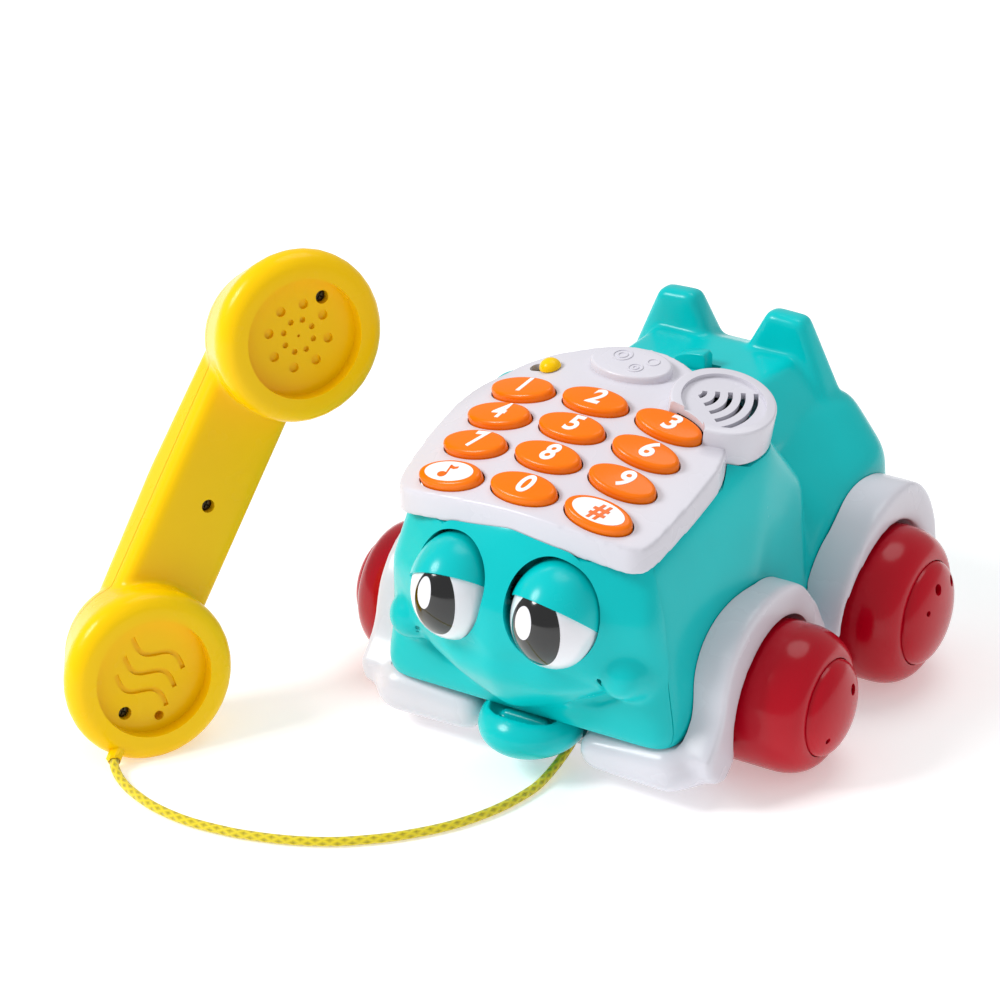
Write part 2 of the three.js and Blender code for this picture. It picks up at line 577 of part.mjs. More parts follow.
// Curved lever that the handset presses down.
function hookLever() {
  const { left, right, z, rise, width, y } = HOOK;
  const shape = new THREE.Shape();
  shape.moveTo(left, HOOK.pinZ - 2.4);
  shape.lineTo(right, z - 4);
  shape.lineTo(right, z + rise - 2);
  shape.quadraticCurveTo(right - 1, z + rise, right - 3, z + rise - 0.4);
  shape.quadraticCurveTo(0, z + rise - 1.5, left + 0.3, z);
  shape.lineTo(left, z - 1);
  const geometry = extrusion(shape, width, { curveSegments: 5 });
  geometry.rotateX(Math.PI / 2);
  geometry.translate(0, y + width / 2, 0);
  return cut(solid(geometry), hookPin(GAP));
}

function hookPin(grow = 0) {
  const geometry = new THREE.CylinderGeometry(HOOK.pinR + grow, HOOK.pinR + grow, 12 + 2 * grow, 10);
  geometry.translate(HOOK.pinX, HOOK.y, HOOK.pinZ);
  return solid(geometry);
}

// ---------------------------------------------------------------- inside the car
const keyMat = () => padSlab(-8.8, -7.8).intersect(padPrism(-5.4)).intersect(inFront(29));

function circuitBoard() {
  const geometry = new THREE.BoxGeometry(70, 42, 1.6);
  return solid(ontoPad(geometry, 0, 10, -15));
}

const speaker = () => podDisc(SPEAKER_R, -8, -1, 20);

function batteryBox() {
  const outer = box([-21, 35.5, FLOOR.z1 + GAP], [21, 92.5, 29]);
  return cut(outer, box([-19, 37.5, 0], [19, 90.5, 27.2]), post(0, DOOR.screwY, 20, 40, 2.2, 12));
}

function battery(side) {
  const geometry = new THREE.CylinderGeometry(CELL.r, CELL.r, CELL.y1 - CELL.y0, 16);
  geometry.translate(side * CELL.x, (CELL.y0 + CELL.y1) / 2, CELL.z);
  return solid(geometry);
}

function batteryDoor() {
  const lid = box([-DOOR.x, DOOR.y0, FLOOR.z0], [DOOR.x, DOOR.y1, FLOOR.z1 - 0.4]);
  return cut(lid, post(0, DOOR.screwY, 0, 20, 2.6, 12));
}

const doorScrew = () => post(0, DOOR.screwY, FLOOR.z0 + 0.3, FLOOR.z1 + 0.6, 2.2, 12);

const chassisScrew = ([x, y]) => join(post(x, y, 11.4, 13.6, 2.5, 12), post(x, y, 13, 31, 1.4, 8));

// ---------------------------------------------------------------- colours and finishes
const PAINT = {
  teal: [0x00b4b6, 0.3, 0], white: [0xe6e4ea, 0.35, 0], orange: [0xf47a14, 0.3, 0],
  yellow: [0xf8c800, 0.3, 0],
  red: [0xc40a28, 0.3, 0], eye: [0xf0f0f4, 0.15, 0], steel: [0x9a9ca0, 0.35, 1], screw: [0x55503f, 0.4, 1],
  rubber: [0xb8b8b4, 0.9, 0], board: [0x1c6b34, 0.6, 0], black: [0x222224, 0.6, 0], cell: [0x3b5ea8, 0.4, 0],
  cord: [0xe2d21c, 0.8, 0],
};

function add(group, name, piece, paint) {
  const [color, roughness, metalness] = PAINT[paint];
  const material = new THREE.MeshStandardMaterial({ color, roughness, metalness });
  const geometry = piece.isBufferGeometry ? piece : geometryOf(piece);
  const mesh = new THREE.Mesh(geometry, material);
  mesh.name = name;
  group.add(mesh);
  return mesh;
}

// ---------------------------------------------------------------- assembly
const toy = new THREE.Group();
const car = new THREE.Group();
car.position.set(...CAR_SHIFT);
toy.add(car);

add(car, "body_shell", bodyShell(), "teal");
add(car, "face_shell", faceShell(), "teal");
add(car, "chassis", chassis(), "white");
add(car, "keypad_panel", panel(), "white");
for (const [row, names] of KEY_NAMES.entries()) {
  for (const [column, name] of names.entries()) add(car, name, key(row, column), "orange");
}

for (const [place, wheel] of [["front", FRONT], ["rear", REAR]]) {
  for (const [hand, side] of [["left", 1], ["right", -1]]) {
    add(car, `wheel_${place}_${hand}`, tyre(wheel, side), "red");
    add(car, `hub_cap_${place}_${hand}`, hubCap(wheel, side), "red");
  }
  add(car, `axle_${place}`, drum(-75, 75, wheel.y, wheel.r, AXLE_R, 20), "steel");
}

add(car, "eye_shaft", eyeShaft(), "steel");
add(car, "eye_bracket", eyeBracket(), "black");
for (const [hand, side] of [["left", 1], ["right", -1]]) {
  add(car, `eyeball_${hand}`, cut(eyeBall(side), eyeShaft(GAP)), "eye");
  add(car, `battery_${hand}`, battery(side), "cell");
}
add(car, "switch_knob", switchKnob(), "yellow");
add(car, "hook_lever", hookLever(), "teal");
add(car, "hook_pin", hookPin(), "steel");
add(car, "key_mat", keyMat(), "rubber");
add(car, "circuit_board", circuitBoard(), "board");
add(car, "speaker", speaker(), "black");
add(car, "battery_box", batteryBox(), "black");
add(car, "battery_door", batteryDoor(), "white");
add(car, "battery_door_screw", doorScrew(), "screw");
for (const [i, place] of SCREW_PLACES.entries()) {
  add(car, `chassis_screw_${i + 1}`, chassisScrew(place), "screw");
}

const handset = new THREE.Group();
handset.applyMatrix4(handsetFrame());
car.add(handset);
add(handset, "handset_front", handsetShell(true), "yellow");
add(handset, "handset_back", handsetShell(false), "yellow");
for (const screw of HANDSET_SCREWS) add(handset, screw.name, handsetScrew(screw), "screw");

add(car, "cord", cordTube(), "cord");
add(car, "cord_collar", cordCollar(), "yellow");
add(car, "cord_knot", hull([[...CORD_KNOT.at, CORD_KNOT.r]]), "cord");

export default toy;
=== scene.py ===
"""Pull-along toy telephone: a smiling car with a keypad bonnet, and a handset on a cord.

Every piece is modelled in the car's own millimetres (+Z up, the face looks along -Y, +X is the
car's left side) and then set down in the frame, in metres.
"""
import math

import bmesh
import bpy
from mathutils import Matrix, Vector


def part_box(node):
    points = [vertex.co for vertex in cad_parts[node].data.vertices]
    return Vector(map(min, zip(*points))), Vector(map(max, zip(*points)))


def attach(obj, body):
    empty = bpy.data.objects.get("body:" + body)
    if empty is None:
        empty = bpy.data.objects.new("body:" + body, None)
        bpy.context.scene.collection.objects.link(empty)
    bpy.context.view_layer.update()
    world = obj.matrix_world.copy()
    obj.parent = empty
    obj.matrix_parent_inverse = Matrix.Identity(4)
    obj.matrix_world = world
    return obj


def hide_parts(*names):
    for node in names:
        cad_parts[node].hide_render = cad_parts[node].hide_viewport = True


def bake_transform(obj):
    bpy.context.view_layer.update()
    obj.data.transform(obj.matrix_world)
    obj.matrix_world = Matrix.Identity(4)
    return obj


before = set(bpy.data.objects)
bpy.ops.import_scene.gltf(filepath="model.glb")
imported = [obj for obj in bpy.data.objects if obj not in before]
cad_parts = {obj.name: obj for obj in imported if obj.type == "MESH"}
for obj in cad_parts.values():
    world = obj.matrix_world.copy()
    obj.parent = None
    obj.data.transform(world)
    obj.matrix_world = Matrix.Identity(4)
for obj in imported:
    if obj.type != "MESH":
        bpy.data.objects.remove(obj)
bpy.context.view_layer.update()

# ------------------------------------------------------------------ driving dimensions, millimetres
MM = 0.001
GAP = 0.3
SEAM_Y = -17.0
BODY_FOOT = 22.0
FLOOR_Z0, FLOOR_Z1 = 8.0, 11.0
PAD_SKIRT, PAD_WALL = 9.0, 2.2
KEY_A, KEY_B, KEY_PROUD = 11.5, 6.0, 2.6
POD_AT, POD_R, POD_RISE = (36.0, 40.0), 17.0, 5.2
DOOR_X, DOOR_Y0, DOOR_Y1 = 18.0, 38.0, 90.0
SCREW_PLACES = [(-40, -4), (40, -4), (-38, 122), (38, 122)]
BADGE_AT, BADGE_A, BADGE_B, BADGE_RISE = (0.0, 46.0), 14.2, 9.0, 2.4
SWITCH_AT, SWITCH_TRAVEL = (-25.5, 38.2), 5.2
HOOK_Y, HOOK_Z = 88.0, 101.0
EYE_X, EYE_Y, EYE_Z = 18.2, -29.6, 65.6
EYE_A, EYE_R, LID_Z = 14.4, 16.8, 44.0
SOCKET_A, SOCKET_B, SOCKET_TURN, SOCKET_X, SOCKET_RISE = 15.4, 17.5, 0.29, 9.8, 2.7
PITCH, CUP_R, DISH_R, DISH_DEPTH = 118.8, 27.3, 19.6, 5.0
DEPTH, GRIP_DEPTH, GRIP_HALF, HANDSET_SEAM = 29.0, 14.5, 15.0, -21.0
CORD_R = 1.5
AXLE_R = 2.0


class Wheel:
    def __init__(self, place, y, r, well_r, holes, shoulder=74.0, tip=90.0):
        self.place, self.y, self.r, self.well_r, self.holes = place, y, r, well_r, holes
        self.shoulder, self.tip = shoulder, tip
        self.cap_r = r * 0.66


# A hub's holes: (turn in degrees, reach as a share of the cap's radius, radius).
FRONT = Wheel("front", 28.6, 24.3, 26.0, ((133, 0.48, 1.9), (-105, 0.84, 1.9), (-35, 0.7, 1.0)))
REAR = Wheel("rear", 98.3, 26.8, 28.5, ((80, 0.61, 1.9), (140, 0.75, 1.9), (175, 0.85, 1.9), (29, 0.58, 1.0)))

axle_low, axle_high = (Vector(corner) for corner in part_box("axle_front"))
SHIFT = (axle_low + axle_high) / 2 - Vector((0, FRONT.y, FRONT.r)) * MM
TO_ROW = Matrix.Translation(SHIFT) @ Matrix.Scale(MM, 4)


def row(point):
    """A point in the car's millimetres, in the frame's metres."""
    return TO_ROW @ Vector(point)


# ------------------------------------------------------------------ camera
def make_camera():
    turn, lift = math.radians(31.5), math.radians(26.2)
    back = Vector((math.sin(turn) * math.cos(lift), -math.cos(turn) * math.cos(lift), math.sin(lift)))
    target = row((-21.2, 0, 82.6))
    data = bpy.data.cameras.new("camera")
    data.sensor_width = 36
    data.lens = 134.3
    data.clip_end = 20
    camera = bpy.data.objects.new("camera", data)
    bpy.context.scene.collection.objects.link(camera)
    camera.location = target + back * 1.183
    camera.rotation_euler = back.to_track_quat("Z", "Y").to_euler()
    bpy.context.scene.camera = camera


make_camera()


# ------------------------------------------------------------------ hand tools
def only(*pieces):
    bpy.ops.object.select_all(action="DESELECT")
    for piece in pieces:
        piece.select_set(True)
    bpy.context.view_layer.objects.active = pieces[0]


def made(name):
    piece = bpy.context.active_object
    piece.name = piece.data.name = name
    bpy.ops.object.transform_apply(location=True, rotation=True, scale=True)
    return piece


def deselected():
    bpy.ops.object.select_all(action="DESELECT")


def block(low, high):
    deselected()
    middle = [(a + b) / 2 for a, b in zip(low, high)]
    bpy.ops.mesh.primitive_cube_add(size=1, location=middle, scale=[b - a for a, b in zip(low, high)])
    return made("block")


def bar(x0, x1, y, z, r, sides=96):
    """Round bar along X."""
    deselected()
    bpy.ops.mesh.primitive_cylinder_add(
        vertices=sides, radius=r, depth=x1 - x0, location=((x0 + x1) / 2, y, z), rotation=(0, math.pi / 2, 0))
    return made("bar")


def post(x, y, z0, z1, r, sides=32):
    deselected()
    middle = (x, y, (z0 + z1) / 2)
    bpy.ops.mesh.primitive_cylinder_add(vertices=sides, radius=r, depth=z1 - z0, location=middle)
    return made("post")


def ball(at, radii, segments=48, rings=24):
    deselected()
    bpy.ops.mesh.primitive_uv_sphere_add(
        segments=segments, ring_count=rings, radius=1, location=at, scale=radii)
    return made("ball")


def united(*pieces):
    only(*pieces)
    bpy.ops.object.join()
    return bpy.context.active_object


def hull(spheres, grow=0.0):
    """Skin stretched over spheres (x, y, z, r); grow moves it outwards."""
    balls = [ball(s[:3], [s[3] + grow] * 3, 24, 12) for s in spheres]
    piece = united(*balls)
    bpy.ops.object.mode_set(mode="EDIT")
    bpy.ops.mesh.select_all(action="SELECT")
    bpy.ops.mesh.convex_hull()
    bpy.ops.object.mode_set(mode="OBJECT")
    return piece


def mirrored(spheres):
    return [s for x, y, z, r in spheres for s in ([(x, y, z, r), (-x, y, z, r)] if x else [(x, y, z, r)])]


def flipped(spheres):
    return [(-x, y, z, r) for x, y, z, r in spheres]


def modify(piece, kind, **settings):
    only(piece)
    modifier = piece.modifiers.new(kind.lower(), kind)
    for key, value in settings.items():
        setattr(modifier, key, value)
    bpy.ops.object.modifier_apply(modifier=modifier.name)
    return piece


def moulded(piece, grain, rounds):
    """Fuses what overlaps into one skin and rounds its edges."""
    modify(piece, "REMESH", mode="VOXEL", voxel_size=grain)
    return modify(piece, "SMOOTH", factor=0.5, iterations=rounds)


def boolean(piece, operation, tools):
    tray = bpy.data.collections.new("tools")
    bpy.context.scene.collection.children.link(tray)
    for tool in tools:
        tray.objects.link(tool)
    modify(piece, "BOOLEAN", operation=operation, operand_type="COLLECTION", collection=tray,
           solver="MANIFOLD")
    for tool in tools:
        bpy.data.objects.remove(tool)
    bpy.data.collections.remove(tray)
    return piece


def cut(piece, *tools):
    return boolean(piece, "DIFFERENCE", tools)


def kept(piece, tool):
    modify(piece, "BOOLEAN", operation="INTERSECT", object=tool, solver="MANIFOLD")
    bpy.data.objects.remove(tool)
    return piece


def added(piece, *tools):
    return boolean(piece, "UNION", tools)


def copied(piece):
    twin = piece.copy()
    twin.data = piece.data.copy()
    bpy.context.scene.collection.objects.link(twin)
    return twin


def turned(profile, y, z, steps=64):
    """Turned about X. The profile is (x, radius) pairs from axis to axis."""
    deselected()
    x, r = profile[0]
    bpy.ops.mesh.primitive_plane_add(size=0.01, location=(x, y, z + r))
    piece = made("turned")
    bpy.ops.object.mode_set(mode="EDIT")
    bpy.ops.mesh.select_all(action="SELECT")
    bpy.ops.mesh.merge(type="CENTER")
    for (x0, r0), (x1, r1) in zip(profile, profile[1:]):
        bpy.ops.mesh.extrude_region_move(TRANSFORM_OT_translate={"value": (x1 - x0, 0, r1 - r0)})
    bpy.ops.mesh.select_all(action="SELECT")
    bpy.ops.mesh.spin(steps=steps, angle=2 * math.pi, center=(0, y, z), axis=(1, 0, 0))
    bpy.ops.mesh.select_all(action="SELECT")
    bpy.ops.mesh.remove_doubles(threshold=0.002)
    bpy.ops.mesh.normals_make_consistent(inside=False)
    bpy.ops.object.mode_set(mode="OBJECT")
    return piece


def plate(points, z0, z1):
    """Flat plate with that outline, standing from z0 to z1."""
    deselected()
    bpy.ops.mesh.primitive_circle_add(vertices=len(points), radius=1, fill_type="NGON")
    piece = made("plate")
    for vertex, (x, y) in zip(piece.data.vertices, points):
        vertex.co = (x, y, z0)
    bpy.ops.object.mode_set(mode="EDIT")
    bpy.ops.mesh.select_all(action="SELECT")
    bpy.ops.mesh.extrude_region_move(TRANSFORM_OT_translate={"value": (0, 0, z1 - z0)})
    bpy.ops.mesh.select_all(action="SELECT")
    bpy.ops.mesh.normals_make_consistent(inside=False)
    bpy.ops.object.mode_set(mode="OBJECT")
    return piece


def carried(piece, matrix):
    piece.data.transform(matrix)
    return piece


def ellipse(a, b, steps=64, x=0.0, y=0.0):
    turns = (2 * math.pi * i / steps for i in range(steps))
    return [(x + a * math.cos(t), y + b * math.sin(t)) for t in turns]


def smooth_line(points, per=8, closed=False):
    """Catmull-Rom curve through the points."""
    vectors = [Vector(p) for p in points]
    count = len(vectors)
    spans = count if closed else count - 1
    line = []
    for i in range(spans):
        if closed:
            a, b, c, d = (vectors[(i + k) % count] for k in (-1, 0, 1, 2))
        else:
            b, c = vectors[i], vectors[i + 1]
            a = vectors[i - 1] if i else b * 2 - c
            d = vectors[i + 2] if i + 2 < count else c * 2 - b
        for k in range(per):
            t = k / per
            line.append(0.5 * (2 * b + (c - a) * t + (2 * a - 5 * b + 4 * c - d) * t * t
                               + (3 * b - a - 3 * c + d) * t ** 3))
    if not closed:
        line.append(vectors[-1])
    return line


# ------------------------------------------------------------------ materials
def shader(name, colour, roughness, mottle=0.05, grain=0.02, metallic=0.0, coat=0.0, sheen=0.0, shine=0.5,
           glow=0.0, depth=0.0001):
    """Moulded stuff: slightly uneven colour and gloss, and a fine skin."""
    material = bpy.data.materials.new(name)
    material.use_nodes = True
    nodes, links = material.node_tree.nodes, material.node_tree.links
    skin = nodes["Principled BSDF"]
    skin.inputs["Metallic"].default_value = metallic
    skin.inputs["Coat Weight"].default_value = coat
    skin.inputs["Coat Roughness"].default_value = 0.08
    skin.inputs["Sheen Weight"].default_value = sheen
    skin.inputs["Specular IOR Level"].default_value = shine
    skin.inputs["Emission Color"].default_value = (1, 1, 1, 1)
    skin.inputs["Emission Strength"].default_value = glow
    place = nodes.new("ShaderNodeTexCoord").outputs["Object"]

    def noise(scale, detail):
        node = nodes.new("ShaderNodeTexNoise")
        node.inputs["Scale"].default_value = scale
        node.inputs["Detail"].default_value = detail
        links.new(place, node.inputs["Vector"])
        return node.outputs["Fac"]

    def ramp(value, low, high):
        node = nodes.new("ShaderNodeMapRange")
        node.inputs["From Min"].default_value = 0.3
        node.inputs["From Max"].default_value = 0.7
        node.inputs["To Min"].default_value = low
        node.inputs["To Max"].default_value = high
        links.new(value, node.inputs["Value"])
        return node.outputs["Result"]

    mix = nodes.new("ShaderNodeMix")
    mix.data_type = "RGBA"
    mix.inputs["A"].default_value = [*(c * (1 - mottle) for c in colour), 1]
    mix.inputs["B"].default_value = [*(min(1, c * (1 + mottle)) for c in colour), 1]
    broad = noise(28, 2)
    links.new(ramp(broad, 0, 1), mix.inputs["Factor"])
    links.new(mix.outputs["Result"], skin.inputs["Base Color"])
    links.new(ramp(noise(60, 3), roughness * 0.85, roughness * 1.15), skin.inputs["Roughness"])
    bump = nodes.new("ShaderNodeBump")
    bump.inputs["Strength"].default_value = grain
    bump.inputs["Distance"].default_value = depth
    links.new(noise(900, 2), bump.inputs["Height"])
    links.new(bump.outputs["Normal"], skin.inputs["Normal"])
    return material


def linear(red, green, blue):
    return [(c / 255 / 12.92) if c / 255 <= 0.04045 else ((c / 255 + 0.055) / 1.055) ** 2.4
            for c in (red, green, blue)]


TEAL = shader("teal_gloss", linear(0, 196, 198), 0.24, shine=0.22, coat=0.06)
WHITE = shader("lilac_white_gloss", linear(219, 217, 226), 0.26, mottle=0.015, shine=0.35, coat=0.06)
ORANGE = shader("orange_gloss", linear(255, 122, 8), 0.22, shine=0.22, coat=0.06)
YELLOW = shader("warm_yellow_gloss", linear(255, 204, 0), 0.26, mottle=0.03, shine=0.16, coat=0.06)
RED = shader("red_gloss", linear(186, 0, 28), 0.2, shine=0.25, coat=0.08)
PRINT_WHITE = shader("white_print", linear(250, 250, 250), 0.3, mottle=0.01)
PRINT_ORANGE = shader("orange_print", linear(245, 110, 10), 0.3, mottle=0.03)
EYE_WHITE = shader("eye_white", linear(238, 238, 244), 0.1, mottle=0.01, coat=0.6)
PUPIL_BLACK = shader("pupil_black", linear(6, 6, 8), 0.12, coat=0.6)
STEEL = shader("drawn_steel", linear(160, 162, 166), 0.3, metallic=1.0, grain=0.1)
SCREW = shader("dark_screw", linear(74, 66, 48), 0.35, metallic=1.0, grain=0.15)
RUBBER = shader("grey_rubber", linear(184, 184, 178), 0.7, grain=0.1)
BOARD = shader("solder_mask", linear(28, 107, 52), 0.5, grain=0.1)
BLACK = shader("black_matt", linear(34, 34, 36), 0.55, grain=0.1)
CELL = shader("cell_label", linear(59, 94, 168), 0.35)


def braid(name):
    """Eight-plait braid that follows the cord's own map: u round it, v along it."""
    material = shader(name, linear(222, 200, 10), 0.75, mottle=0.1, grain=0.3, sheen=0.4)
    nodes, links = material.node_tree.nodes, material.node_tree.links
    skin = nodes["Principled BSDF"]
    spread = nodes.new("ShaderNodeSeparateXYZ")
    links.new(nodes.new("ShaderNodeUVMap").outputs["UV"], spread.inputs["Vector"])

    def sums(kind, a, b=None):
        node = nodes.new("ShaderNodeMath")
        node.operation = kind
        for socket, value in zip(node.inputs, (a, b)):
            if value is None:
                continue
            if isinstance(value, (int, float)):
                socket.default_value = value
            else:
                links.new(value, socket)
        return node.outputs["Value"]

    around = sums("MULTIPLY", spread.outputs["X"], 4.0)
    along = sums("MULTIPLY", spread.outputs["Y"], 1.0)
    strands = []
    for hand in (1.0, -1.0):
        phase = sums("ADD", sums("MULTIPLY", around, hand), along)
        strands.append(sums("ABSOLUTE", sums("SINE", sums("MULTIPLY", phase, math.pi))))
    weave = sums("MAXIMUM", *strands)
    bump = nodes.new("ShaderNodeBump")
    bump.inputs["Strength"].default_value = 0.9
    bump.inputs["Distance"].default_value = 0.0004
    links.new(weave, bump.inputs["Height"])
    links.new(bump.outputs["Normal"], skin.inputs["Normal"])
    # Painted shade: the grooves between the strands are darker yellow and the crowns of the strands lighter,
    # following the weave's height.
    shade = nodes.new("ShaderNodeMix")
    shade.data_type = "RGBA"
    shade.inputs["A"].default_value = [*linear(186, 166, 0), 1]
    shade.inputs["B"].default_value = [*linear(236, 214, 20), 1]
    links.new(sums("POWER", weave, 2.0), shade.inputs["Factor"])
    links.new(shade.outputs["Result"], skin.inputs["Base Color"])
    return material


BRAID = braid("yellow_braid")


# ------------------------------------------------------------------ setting pieces down
def settle(piece, name, body, slot, material, *nodes, crease=35, matrix=None):
    """Hands a piece modelled in millimetres to its body, in the frame."""
    piece.name = piece.data.name = name
    piece.data.transform(TO_ROW @ matrix if matrix else TO_ROW)
    piece.data.materials.clear()
    piece.data.materials.append(material)
    only(piece)
    bpy.ops.object.shade_smooth_by_angle(angle=math.radians(crease))
    if body:
        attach(piece, body)
    if nodes:
        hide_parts(*nodes)
    return piece


# ------------------------------------------------------------------ cord
LIE = 1.6
CORD_ROUTE = [
    (9.5, -0.4, 11.1), (9.5, -2.4, 9), (9.5, -4.7, 7), (9.5, -8, 5.3), (9.6, -12, 4), (9.8, -17, 2.9),
    (10, -23, 2), (10, -30, LIE), (8.7, -39, LIE), (6.6, -47.2, LIE), (3.8, -54.6, LIE), (0.5, -61.4, LIE),
    (-3.4, -67.6, LIE), (-7.8, -73.3, LIE), (-12.8, -79, LIE), (-18.2, -84, LIE), (-24, -88.7, LIE),
    (-30.2, -92.6, LIE), (-36.8, -95.9, LIE), (-43.6, -98.6, LIE), (-50.8, -100.8, LIE), (-57.9, -102.4, LIE),
    (-71.5, -103.8, LIE), (-85.1, -102.4, LIE), (-96.8, -98.6, LIE), (-104.5, -94.6, 1.9), (-109.5, -91, 2.9),
    (-112.4, -87.4, 4),
]


def tube(line, r, sides=16, per_turn=3.0):
    """Closed tube along a line, with a map of u round it and v along it."""
    mesh = bpy.data.meshes.new("tube")
    bm = bmesh.new()
    layer = bm.loops.layers.uv.new("along")
    rings, run, up = [], 0.0, Vector((0, 0, 1))
    runs = []
    for i, point in enumerate(line):
        ahead = (line[min(i + 1, len(line) - 1)] - line[max(i - 1, 0)]).normalized()
        side = ahead.cross(up).normalized()
        over = side.cross(ahead)
        up = over
        if i:
            run += (point - line[i - 1]).length
        runs.append(run)
        rings.append([bm.verts.new(point + (side * math.cos(t) + over * math.sin(t)) * r)
                      for t in (2 * math.pi * k / sides for k in range(sides))])
    for i in range(len(rings) - 1):
        for k in range(sides):
            n = (k + 1) % sides
            face = bm.faces.new((rings[i][k], rings[i][n], rings[i + 1][n], rings[i + 1][k]))
            corners = ((k, i), (k + 1, i), (k + 1, i + 1), (k, i + 1))
            for loop, (u, v) in zip(face.loops, corners):
                loop[layer].uv = (u / sides, runs[v] / (per_turn * r))
    bm.faces.new(reversed(rings[0]))
    bm.faces.new(rings[-1])
    bmesh.ops.recalc_face_normals(bm, faces=bm.faces)
    bm.to_mesh(mesh)
    bm.free()
    piece = bpy.data.objects.new("tube", mesh)
    bpy.context.scene.collection.objects.link(piece)
    return piece


def cord():
    line = smooth_line(CORD_ROUTE, 8)
    piece = settle(tube(line, CORD_R), "cord_braid", None, "cord", BRAID, "cord", crease=80)
    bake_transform(piece)
    knot = hull([(9.5, 2.2, 13.6, 2.4), (10.6, 3.4, 14.2, 1.5)])
    knot = settle(moulded(knot, 0.4, 3), "cord_knot_tied", "car", "cord", BRAID, "cord_knot")
    path = [row(p) for p in line]
    length = sum((b - a).length for a, b in zip(path, path[1:]))
    print("cord length", round(length, 4))


cord()


# ------------------------------------------------------------------ forms of the car
CABIN = mirrored([
    (46, -14, 26, 8), (38, -16, 80, 7), (40, 15, 92, 7), (43, 45, 97, 8.5), (16, 51, 102.5, 6.5),
    (44, 65, 76, 8.5), (47, 68, 26, 8), (47, 28, 60, 8.5),
])
HAUNCH = mirrored([
    (27, 76, 80, 10), (34, 120, 76, 12), (43, 84, 58, 13), (42, 118, 64, 14), (38, 124, 50, 13),
    (46, 128, 26, 8), (46, 66, 26, 8),
])
CRADLE = mirrored([
    (24, 66, 96.5, 4.5), (24, 112, 96.5, 4.5), (33, 68, 84, 5), (33, 118, 82, 5), (25, 121, 94, 4),
])
PRONG = [
    (15.8, 113.5, 111.6, 3), (25, 113.5, 111, 3), (15.6, 117.5, 111.2, 3), (25, 117.5, 110.8, 3),
    (10, 112.5, 100, 3), (35, 113, 86, 3), (10, 121, 97, 3), (35, 121, 86, 3),
]
BROW = mirrored([
    (38, -14, 82, 7), (20, -21.5, 85, 8), (0, -23, 86, 8), (39, -17, 64, 10), (42, -14, 48, 9),
    (19, -28, 66, 11),
    (0, -30, 64, 10.5), (0, -30, 54, 10.5), (28, -23, 52, 10),
])
MUZZLE = mirrored([
    (0, -28, 47, 12), (13, -26, 46, 11), (25, -22, 47, 9.5), (0, -24, 37, 10), (14, -19, 38, 9.5),
    (0, -16, 31, 9),
])
CHEEK = [(38.5, -24, 48, 8.2), (36, -20, 47, 9), (40, -18, 46, 9)]
LOWER_FACE = mirrored([(45, -9, 52, 9), (45, -10, 30, 8.5), (12, -12, 34, 6), (12, -9, 27, 4)])
CHIN_AT, CHIN_SIZE = (0, -13.5, 16), (17.4, 20, 10.6)
SMILE = [
    (33, -28.8, 47.5, 1.6), (37.2, -25.8, 43.2, 2.3), (34, -23.4, 38.2, 2.6),
    (28, -23, 34.6, 2.4), (20, -24, 31.5, 2),
]
BUMPER = [(24.8, -14, 12.8, 6.8), (50, -13.5, 14, 8.7), (55.8, -8, 15, 8.3), (56, 3, 16, 6)]
FENDER_TOP = [
    (-17, 20), (-9, 30), (-5, 44), (3, 54), (16, 60), (32, 60.5), (46, 55), (56, 43), (61.5, 31), (64, 28),
    (66.5, 32), (70, 43), (77, 54), (87, 62), (100, 66), (113, 65), (125, 58), (134, 43), (137, 20),
]
PAD_HALF = [
    (0, -29), (20, -28.6), (35, -27), (42, -25), (45.6, -20), (47.2, -8), (48, 6), (47.6, 18),
    (45, 27), (41, 33), (37, 40), (31, 46.5), (23, 51.5), (13, 57), (0, 59.5),
]


def pad_z(x, y):
    return 106.43 + 0.29 * y - 0.00182 * y * y - 0.003218 * x * x


def pad_frame(x, y, lift=0.0):
    """Frame on the bonnet at (x, y), +Z outwards."""
    normal = Vector((2 * 0.003218 * x, -0.29 + 2 * 0.00182 * y, 1)).normalized()
    turn = Vector((0, 0, 1)).rotation_difference(normal)
    at = Vector((x, y, pad_z(x, y))) + normal * lift
    return Matrix.Translation(at) @ turn.to_matrix().to_4x4()


def pad_outline(grow=0.0):
    points = PAD_HALF + [(-x, y) for x, y in reversed(PAD_HALF[1:-1])]
    line = smooth_line(points, 4, closed=True)
    grown = []
    for i, p in enumerate(line):
        along = (line[(i + 1) % len(line)] - line[i - 1]).normalized()
        out = Vector((along.y, -along.x))
        if out.dot(p - Vector((0, 12))) < 0:
            out.negate()
        grown.append(tuple(p + out * grow))
    return grown


def on_pad(piece):
    """Bends a piece modelled flat, z measured from the bonnet's surface, onto the bonnet."""
    for vertex in piece.data.vertices:
        vertex.co.z += pad_z(vertex.co.x, vertex.co.y)
    return piece


def pad_seat():
    piece = plate(pad_outline(GAP), -PAD_SKIRT - GAP, 60)
    only(piece)
    bpy.ops.object.mode_set(mode="EDIT")
    bpy.ops.mesh.select_all(action="SELECT")
    bpy.ops.mesh.quads_convert_to_tris()
    bpy.ops.object.mode_set(mode="OBJECT")
    return on_pad(piece)


def pod_disc(r, low, high, sides=96):
    return carried(post(0, 0, low, high, r, sides), pad_frame(*POD_AT))


def well_cuts(grow, x0):
    tools = []
    for wheel in (FRONT, REAR):
        for side in (-1, 1):
            ends = sorted((side * x0, side * 200))
            tools.append(bar(*ends, wheel.y, wheel.r, wheel.well_r + grow))
    return tools


def behind(y):
    return block((-200, y, -200), (200, 400, 400))


def ahead_of(y):
    return block((-200, -300, -200), (200, y, 400))


def under(z):
    return block((-200, -300, -200), (200, 400, z))


